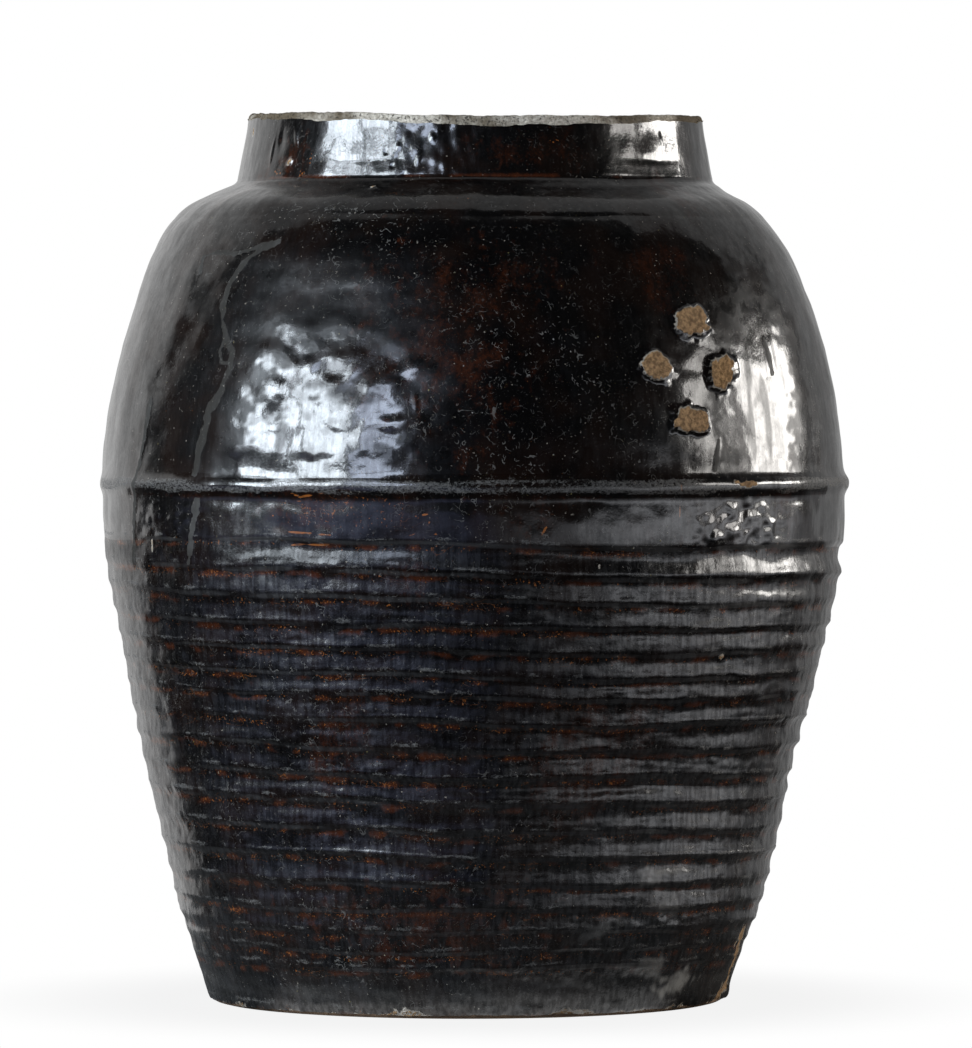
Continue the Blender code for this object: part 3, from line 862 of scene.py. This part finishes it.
def make_base(points, material):
    """The slab: its underside, its rounded edge up to the wall's first row, and the floor inside."""
    edge = [(float(outer_radius(h)), h) for h in np.linspace(0, FOOT_SEAM, BASE_EDGE_RINGS + 1)[:-1]]
    under = [(radius * MM, 0.0) for radius in BASE_RING_RADII] + edge
    floor = [(float(inner_radius(BASE_TOP)), BASE_TOP)]
    floor += [(radius * MM, BASE_TOP) for radius in BASE_FLOOR_RADII]
    rings = np.concatenate([ring_rows(under), points[:1], ring_rows(floor)])
    shift = float(lean_at(0.0))
    poles = ((0, (shift, 0, 0), True), (len(rings) - 1, (shift, 0, BASE_TOP), False))
    mesh = make_mesh("base_disc", rings, closed=False, poles=poles)
    crease_rings(mesh, (len(under), len(under) + 1))
    counts = ((len(under) + 1) * COLUMNS, len(floor) * COLUMNS)
    paint(mesh, "inside", np.repeat([0.0, 1.0], counts))
    place_section("base_disc", mesh, material)


class Graph:
    """Short calls that add nodes to a new material or world and link them."""

    def __init__(self, owner, coordinates="Object"):
        self.owner = owner
        owner.use_nodes = True
        self.tree = owner.node_tree
        self.tree.nodes.clear()
        self.place = self.add("ShaderNodeTexCoord").outputs[coordinates]

    def add(self, kind, inputs=None, **settings):
        made = self.tree.nodes.new(kind)
        for name, value in settings.items():
            setattr(made, name, value)
        for key, value in (inputs or {}).items():
            if isinstance(value, bpy.types.NodeSocket):
                self.tree.links.new(value, made.inputs[key])
            else:
                made.inputs[key].default_value = value
        return made

    def attribute(self, name):
        return self.add("ShaderNodeAttribute", attribute_name=name).outputs["Fac"]

    def math(self, operation, first, *others):
        """One operation on two or more values, from the left."""
        for other in others:
            first = self.add("ShaderNodeMath", {0: first, 1: other}, operation=operation).outputs[0]
        return first

    def times(self, *values):
        return self.math("MULTIPLY", *values)

    def plus(self, *values):
        return self.math("ADD", *values)

    def most(self, *values):
        return self.math("MAXIMUM", *values)

    def rest(self, value):
        return self.math("SUBTRACT", 1.0, value)

    def vector_math(self, operation, *values, output=0):
        made = self.add("ShaderNodeVectorMath", dict(enumerate(values)), operation=operation)
        return made.outputs[output]

    def scaled(self, vector, *scale):
        return self.vector_math("MULTIPLY", vector, scale)

    def facing(self, direction):
        """How near the place's direction is to the given one, 1 being the same."""
        return self.vector_math("DOT_PRODUCT", self.place, direction, output="Value")

    def ramp(self, value, low, high, start=0.0, end=1.0):
        inputs = {"Value": value, "From Min": low, "From Max": high, "To Min": start, "To Max": end}
        return self.add("ShaderNodeMapRange", inputs, interpolation_type="SMOOTHSTEP").outputs["Result"]

    def mix(self, factor, a, b):
        a, b = (value if isinstance(value, bpy.types.NodeSocket) else (*value, 1.0) for value in (a, b))
        return self.add("ShaderNodeMix", {0: factor, 6: a, 7: b}, data_type="RGBA").outputs[2]

    def between(self, factor, a, b):
        return self.add("ShaderNodeMix", {0: factor, 2: a, 3: b}, data_type="FLOAT").outputs[0]

    def noise(self, scale, detail=3.0, roughness=0.5, vector=None):
        vector = self.place if vector is None else vector
        inputs = {"Vector": vector, "Scale": scale, "Detail": detail, "Roughness": roughness}
        return self.add("ShaderNodeTexNoise", inputs).outputs["Fac"]

    def bent(self, vector, scale, reach):
        """The same place, pushed about by noise."""
        inputs = {"Vector": vector, "Scale": scale, "Detail": 2.0}
        colour = self.add("ShaderNodeTexNoise", inputs).outputs["Color"]
        centred = self.vector_math("SUBTRACT", colour, (0.5, 0.5, 0.5))
        return self.vector_math("ADD", vector, self.scaled(centred, reach, reach, reach))

    def specks(self, vector, scale, radius, share):
        """Round dots in a share of the cells of a pattern."""
        cell = self.add("ShaderNodeTexVoronoi", {"Vector": vector, "Scale": scale})
        dot = self.ramp(cell.outputs["Distance"], radius * 0.6, radius, 1.0, 0.0)
        pick = self.add("ShaderNodeSeparateColor", {"Color": cell.outputs["Color"]}).outputs["Red"]
        return self.times(dot, self.math("LESS_THAN", pick, share))

    def scratches(self, degrees, scale, length, share):
        """Short fine scratches that lie about one way."""
        tilt = {"Vector": self.place, "Angle": radians(degrees), "Axis": (0.2, 1.0, 0.0)}
        turned = self.add("ShaderNodeVectorRotate", tilt, rotation_type="AXIS_ANGLE").outputs[0]
        drawn = self.scaled(self.bent(turned, 120.0, 0.0016), 1.0, 1.0, 1.0 / length)
        return self.specks(drawn, scale, 0.16, share)

    def threads(self, stretch, scale, thickness, cover):
        """Thin curved threads along one way, broken up into short stretches."""
        field = self.noise(scale, 1.0, vector=self.scaled(self.bent(self.place, 40.0, 0.004), *stretch))
        near = self.math("ABSOLUTE", self.math("SUBTRACT", field, 0.5), 0.0)
        line = self.ramp(near, thickness * 0.5, thickness, 1.0, 0.0)
        return self.times(line, self.ramp(self.noise(scale * 0.9, 1.0), cover, cover + 0.05))

    def start(self, scale, detail, roughness, low, high, first, second):
        """The first colours: one, and patches of another."""
        self.body = first
        self.cover(second, self.ramp(self.noise(scale, detail, roughness), low, high))

    def cover(self, colour, *shares):
        """Lays another colour over the colours so far, by a product of shares."""
        self.body = self.mix(self.times(*shares), self.body, colour)

    def inner_glaze(self):
        return self.mix(self.ramp(self.noise(28.0, 6.0, 0.6), 0.36, 0.66), INNER_DARK, INNER_BROWN)

    def surface(self, height, distance, strength, inputs):
        """Ends a material in a shader of its colours, with bumps of some height."""
        relief = {"Height": height, "Distance": distance, "Strength": strength}
        normal = self.add("ShaderNodeBump", relief).outputs["Normal"]
        normals = {"Normal": normal, "Coat Normal": normal} if "Coat Weight" in inputs else {"Normal": normal}
        shader = self.add("ShaderNodeBsdfPrincipled", {"Base Color": self.body, **inputs, **normals})
        self.add("ShaderNodeOutputMaterial", {"Surface": shader.outputs[0]})
        return self.owner


def stain(g):
    """Brown-black, rusty where thin, with amber flecks and threads."""
    rust, groove, fibre = (g.attribute(name) for name in ("rust", "groove", "fibre"))
    g.start(42.0, 4.0, 0.5, 0.40, 0.66, BLACK_GLAZE, BROWN_GLAZE)
    streaks = g.noise(130.0, 5.0, 0.6, g.scaled(g.place, 1.0, 1.0, 0.4))
    streaks = g.between(0.5, streaks, g.noise(620.0, 4.0, 0.8))
    g.cover(RUST_GLAZE, g.ramp(g.plus(streaks, g.times(rust, 0.44)), 0.64, 0.98))
    lift = g.plus(g.times(groove, 0.14), g.times(rust, 0.05), g.times(fibre, 0.24))
    flecks = g.ramp(g.plus(g.noise(780.0, 2.0, 0.65), lift), 0.75, 0.83)
    g.cover(AMBER_GLAZE, flecks, 0.75)
    stringy = g.most(fibre, g.times(groove, 0.8))
    strands = g.times(g.threads((1.0, 1.0, 3.2), 75.0, 0.0045, 0.54), stringy)
    drawn_thread = g.ramp(g.attribute("thread"), 0.72, 0.90, 0.0, 0.9)
    g.cover(AMBER_GLAZE, g.most(strands, drawn_thread))


def haze_sheen_and_reflection(g, film_and_sheen):
    """A brushed-on bluish-violet layer, partly real milky haze and partly painted sheen, and pale grey
    patches of painted reflection.
    """
    g.haze_noise = g.noise(34.0, 7.0, 0.72)
    brushed = g.noise(420.0, 4.0, 0.6, g.scaled(g.place, 1.0, 1.0, 0.14))
    g.drawn = g.ramp(brushed, 0.38, 0.62, 0.25, 1.0)
    # Partly real haze, partly painted sheen: the bluish-violet layer, thicker where the pale mask lies
    haze = g.ramp(g.plus(g.haze_noise, g.times(g.attribute("pale"), 0.32)), 0.46, 0.96)
    g.cover(FILM_AND_SHEEN_VIOLET, haze, g.drawn, film_and_sheen)
    # Painted reflection: pale grey cloudy patches low on the wall
    reflection_clouds = g.times(g.attribute("reflection_bloom"), g.ramp(g.haze_noise, 0.32, 0.62, 0.2, 1.0))
    g.cover(DUST_AND_REFLECTION_GREY, reflection_clouds, 0.9)


def soil(g, grit):
    """Grit, dirt settled on the ledges, black lines of painted shade under them, and dull runs."""
    g.cover(GRIT_GREY, g.ramp(g.noise(1300.0, 3.0, 0.7), 0.61, 0.74, 0.0, grit))
    settled = g.noise(560.0, 5.0, 0.88, g.scaled(g.place, 1.0, 1.0, 1.7))
    g.ledge, g.slit = g.attribute("ledge"), g.attribute("slit")
    g.settled = g.ramp(g.plus(settled, g.times(g.ledge, 0.28)), 0.66, 0.90)
    g.cover(LEDGE_GREY, g.settled, 0.55)
    g.cover(SHADE_SLIT_BLACK, g.slit, 0.7)
    vein = g.plus(g.attribute("vein"), g.times(g.noise(420.0, 3.0), 0.5))
    g.vein = g.ramp(vein, 0.66, 1.02)
    g.cover(VEIN_GREY, g.vein, 0.85)


def scatter(g):
    """Dust: large and small dots, hairs and scratches."""
    dust = g.attribute("dust")
    large = g.specks(g.bent(g.place, 200.0, 0.003), 230.0, 0.11, 0.10)
    crowded = g.ramp(g.noise(55.0, 4.0, 0.6), 0.35, 0.70, -0.05, 0.05)
    small = g.ramp(g.plus(g.noise(1500.0, 2.0, 0.7), crowded), 0.70, 0.77)
    hair = g.threads((1.0, 1.0, 1.0), 190.0, 0.016, 0.57)
    hair = g.most(hair, g.threads((1.3, 1.3, 0.9), 340.0, 0.026, 0.60))
    hair = g.most(hair, *(g.scratches(*scratch) for scratch in SCRATCHES))
    hair = g.times(hair, g.ramp(g.noise(38.0, 4.0, 0.6), 0.40, 0.62, 0.12, 1.0))
    g.hair = g.times(hair, g.most(dust, g.times(g.ledge, 0.9)))
    g.dots = g.times(g.most(large, g.times(small, 0.8)), dust)
    g.cover(HAIR_GREY, g.hair, 0.50)
    colour = g.mix(g.ramp(g.noise(300.0, 1.0), 0.50, 0.60), DUST_AND_REFLECTION_GREY, DUST_OLIVE)
    g.cover(colour, g.dots, 0.85)


def wear(g):
    """Bare clay with pale edges where the glaze is gone, and the brown glaze inside."""
    clay = g.mix(g.ramp(g.noise(500.0, 5.0, 0.7), 0.36, 0.66), DARK_TAN_CLAY, TAN_CLAY)
    ragged = g.times(g.math("SUBTRACT", g.noise(650.0, 3.0), 0.5), 0.9)
    edge = g.plus(g.attribute("bare"), ragged)
    g.bare = g.ramp(edge, 0.52, 0.70)
    thin = g.times(g.ramp(edge, 0.14, 0.30), g.ramp(g.noise(160.0, 2.0), 0.38, 0.52))
    g.cover(EDGE_PALE, thin, 0.75)
    g.cover(clay, g.bare)
    g.inside = g.attribute("inside")
    g.cover(g.inner_glaze(), g.inside)


def coat(g, weight, streaked, hazy, grit):
    """Weight of the clear coat: less where it is bare, dusty, soiled, hazy or dull."""
    gloss = g.rest(g.most(g.bare, g.times(g.inside, 0.7)))
    gloss = g.times(gloss, g.rest(g.times(g.settled, 0.75)))
    dull = g.most(g.times(g.dots, 0.8), g.times(g.hair, 0.5))
    soiled = g.ramp(g.noise(620.0, 4.0, 0.75), 0.46, 0.66, 1.0, 1.0 - 1.4 * grit)
    worn_down = g.ramp(g.noise(120.0, 5.0, 0.7), 0.36, 0.62, 1.0 - 1.2 * grit, 1.0)
    soiled = g.times(soiled, streaked, worn_down)
    worn = g.most(g.times(hazy, 0.9), g.times(g.vein, 0.93))
    # The painted shade under the rib edges also takes the coat away.
    return g.times(gloss, g.rest(dull), weight, soiled, g.rest(g.slit), g.rest(worn))


def roughness(g, low, high, hazy):
    rough = g.plus(g.ramp(g.haze_noise, 0.35, 0.75, low, high), g.times(g.drawn, 0.05))
    return g.most(
        rough,
        g.times(g.most(g.settled, g.slit), 0.8),
        g.times(g.bare, 0.88),
        g.times(hazy, 0.30),
        g.times(g.vein, 0.62),
    )


def relief(g, peel, grit):
    """Orange peel, fine grain, dust and the grain of bare clay, in millimetres."""
    return g.plus(
        g.times(g.noise(210.0, 3.0, 0.55), peel),
        g.times(g.noise(760.0, 2.0, 0.5), 0.010 + 0.26 * grit * grit),
        g.times(g.dots, 0.04),
        g.times(g.noise(900.0, 3.0, 0.6), g.bare, 0.5),
    )


def glaze_material(name, coat_roughness, coat_weight, peel, film_and_sheen, sheen, rough_range, grit):
    """Dark gloss glaze, in layers that use what earlier ones leave in the graph."""
    g = Graph(bpy.data.materials.new(name))
    stain(g)
    haze_sheen_and_reflection(g, film_and_sheen)
    soil(g, grit)
    scatter(g)
    wear(g)
    hazy = g.attribute("haze")
    streaked = g.between(1.5 * grit, 1.0, g.drawn)
    inputs = {
        "Roughness": roughness(g, *rough_range, hazy),
        "Specular IOR Level": g.times(g.ramp(hazy, 0.0, 1.0, sheen, sheen * 0.38), streaked),
        "Coat Weight": coat(g, coat_weight, streaked, hazy, grit),
        "Coat Roughness": coat_roughness,
        "Coat IOR": 1.5,
    }
    return g.surface(relief(g, peel, grit), MM, 1.0, inputs)


def lip_material():
    """Rough bare clay of the lip, grey and tan with dark pits."""
    g = Graph(bpy.data.materials.new("rim_clay"))
    g.start(26.0, 4.0, 0.5, 0.42, 0.60, LIP_BROWN, LIP_PALE)
    fine = g.ramp(g.noise(620.0, 4.0, 0.7), 0.36, 0.62)
    g.cover(LIP_BROWN, fine, 0.55)
    pits = g.ramp(g.noise(820.0, 3.0, 0.6, g.bent(g.place, 300.0, 0.002)), 0.56, 0.66)
    g.cover(LIP_DARK, pits, 0.8)
    height = g.math("SUBTRACT", g.noise(700.0, 4.0, 0.65), g.times(pits, 0.5))
    inputs = {"Roughness": g.ramp(fine, 0.0, 1.0, 0.78, 0.95), "Specular IOR Level": 0.3}
    return g.surface(height, 0.6 * MM, 1.0, inputs)


def base_material():
    """Bare clay of the underside, and the brown glaze of the floor inside."""
    g = Graph(bpy.data.materials.new("bare_clay"))
    g.start(60.0, 6.0, 0.65, 0.36, 0.66, BASE_DARK, BASE_PALE)
    grit = g.times(g.specks(g.place, 240.0, 0.22, 0.3), 0.6)
    g.cover(DARK_TAN_CLAY, grit)
    inside = g.attribute("inside")
    g.cover(g.inner_glaze(), inside)
    inputs = {"Roughness": g.ramp(inside, 0.0, 1.0, 0.9, 0.35), "Specular IOR Level": 0.35}
    return g.surface(g.plus(g.noise(500.0, 4.0, 0.6), grit), 0.4 * MM, 0.8, inputs)


def floor_material():
    """Pale floor that keeps the jar's soft shadow and runs out into the white backdrop."""
    g = Graph(bpy.data.materials.new("pale_floor"))
    length = g.vector_math("LENGTH", g.place, output="Value")
    depth = g.add("ShaderNodeSeparateXYZ", {0: g.place}).outputs["Y"]
    colour = g.mix(g.ramp(g.noise(18.0, 4.0), 0.3, 0.7), *FLOOR_COLOURS)
    dull = g.add("ShaderNodeBsdfDiffuse", {"Color": colour})
    white = g.add("ShaderNodeEmission", {"Color": (1, 1, 1, 1), "Strength": 1.0})
    path = g.add("ShaderNodeLightPath").outputs
    near = g.times(g.ramp(length, *FLOOR_MIRRORED, 1.0, 0.0), g.ramp(depth, *FLOOR_FRONT, 1.0, 0.0))
    behind = g.ramp(depth, *FLOOR_BEHIND, 0.0, FLOOR_BEHIND_WHITE)
    mirrored = g.times(g.most(path["Is Glossy Ray"], path["Is Transmission Ray"]), g.most(near, behind))
    seen = g.times(path["Is Camera Ray"], g.ramp(length, *FLOOR_FADE, FLOOR_NEAR_WHITE, 1.0))
    mix = {0: g.most(seen, mirrored), 1: dull.outputs[0], 2: white.outputs[0]}
    g.add("ShaderNodeOutputMaterial", {"Surface": g.add("ShaderNodeMixShader", mix).outputs[0]})
    return g.owner


def add_floor():
    """A small round floor under the jar."""
    angle = 2 * pi * np.arange(FLOOR_CORNERS) / FLOOR_CORNERS
    radius = FLOOR_RADIUS * np.array(FLOOR_RING_SHARES)[:, None]
    flat = np.zeros((len(radius), FLOOR_CORNERS))
    points = np.stack([radius * np.cos(angle), radius * np.sin(angle), flat], axis=2)
    mesh = make_mesh("floor", points, closed=False, poles=((len(radius) - 1, (0, 0, 0), False),))
    floor = add_object("floor", mesh)
    floor.location.z = -FLOOR_DROP
    mesh.materials.append(floor_material())


def towards_room(azimuth, elevation=0.0):
    """Direction from the jar, azimuth 0 being the camera's side."""
    flat = cos(elevation)
    return Vector((sin(azimuth) * flat, -cos(azimuth) * flat, sin(elevation)))


def set_world():
    """A dim room with a pale backdrop behind the jar. The camera sees the backdrop's white all round."""
    world = bpy.data.worlds.new("studio")
    bpy.context.scene.world = world
    g = Graph(world, "Generated")
    axes = g.add("ShaderNodeSeparateXYZ", {0: g.place}).outputs
    path = g.add("ShaderNodeLightPath").outputs
    level = g.ramp(axes["X"], -0.5, 0.5, BACKDROP_LEFT, BACKDROP_RIGHT)
    level = g.between(g.ramp(axes["Z"], 0.3, 0.8), level, BACKDROP_TOP)
    lit = g.most(path["Is Glossy Ray"], path["Is Transmission Ray"], BACKDROP_LIGHT_SHARE)
    backdrop = g.times(level, lit, g.ramp(g.facing(BACKDROP_NORMAL), *BACKDROP_EDGE))
    strength = g.most(g.plus(backdrop, ROOM_LEVEL), path["Is Camera Ray"])
    sky = g.add("ShaderNodeBackground", {"Color": (1, 1, 1, 1), "Strength": strength})
    rise = g.ramp(axes["Z"], *GLOW_RISE)
    low_light = g.times(rise, rise, g.ramp(axes["Z"], *GLOW_FALL, 1.0, 0.0))
    for azimuth, reach, peak, colour in GLOWS:
        near = g.facing(tuple(towards_room(radians(azimuth))))
        glow = g.times(g.ramp(near, cos(radians(reach)), 1.0), low_light, peak)
        light = g.add("ShaderNodeBackground", {"Color": (*colour, 1), "Strength": glow})
        sky = g.add("ShaderNodeAddShader", {0: sky.outputs[0], 1: light.outputs[0]})
    g.add("ShaderNodeOutputWorld", {"Surface": sky.outputs[0]})


def aim(holder, place, direction, forward):
    """Puts an object at a place, with one of its axes along a direction."""
    holder.location = place
    holder.rotation_mode = "QUATERNION"
    holder.rotation_quaternion = direction.to_track_quat(forward, "Y")


def add_pane(name, azimuths, elevations, radiance, colour):
    """A soft lamp that the wall mirrors towards the camera."""
    azimuth = radians(sum(azimuths) / 2)
    elevation = radians(sum(elevations) / 2)
    wide = radians(azimuths[1] - azimuths[0]) * cos(elevation)
    tall = radians(elevations[1] - elevations[0])
    mirror = towards_room(azimuth / 2) * float(outer_radius(WALL_MIRROR_HEIGHT))
    mirror.z = WALL_MIRROR_HEIGHT
    lamp = bpy.data.lights.new(name, "AREA")
    lamp.shape = "RECTANGLE"
    lamp.size = 2 * LAMP_DISTANCE * tan(wide / 2)
    lamp.size_y = 2 * LAMP_DISTANCE * tan(tall / 2)
    lamp.energy = radiance * pi * lamp.size * lamp.size_y
    lamp.color = colour
    holder = add_object(name, lamp)
    towards = towards_room(azimuth, elevation)
    aim(holder, mirror + towards * LAMP_DISTANCE, towards, "Z")
    holder.visible_camera = False


def add_camera():
    camera = bpy.data.cameras.new("camera")
    camera.lens = LENS
    camera.sensor_width = SENSOR
    camera.sensor_fit = "AUTO"
    camera.clip_end = CLIP_END
    holder = add_object("camera", camera)
    aim(holder, CAMERA_PLACE, CAMERA_TARGET - CAMERA_PLACE, "-Z")
    bpy.context.scene.camera = holder


def build_jar():
    skin = Skin()
    for shape in (shape_ribs, shape_ridge, roughen_wall, shape_neck):
        shape(skin)
    settle_masks(skin)
    for add in (add_pads, add_marks, add_haze, add_foot):
        add(skin)
    points = skin.points()
    glossy = glaze_material("gloss_glaze", **GLOSSY)
    satin = glaze_material("satin_glaze", **SATIN)
    for name, first, last, low, high in zip(WALL_SECTIONS, SEAM_ROWS, SEAM_ROWS[1:], SEAMS, SEAMS[1:]):
        glaze = satin if "ribbed" in name else glossy
        make_wall_section(name, skin, points, first, last, low, high, glaze)
    make_lip(points, lip_material())
    make_base(points, base_material())


build_jar()
add_floor()
for pane in PANES:
    add_pane(*pane)
set_world()
add_camera()
bpy.context.scene.view_settings.view_transform = "Standard"
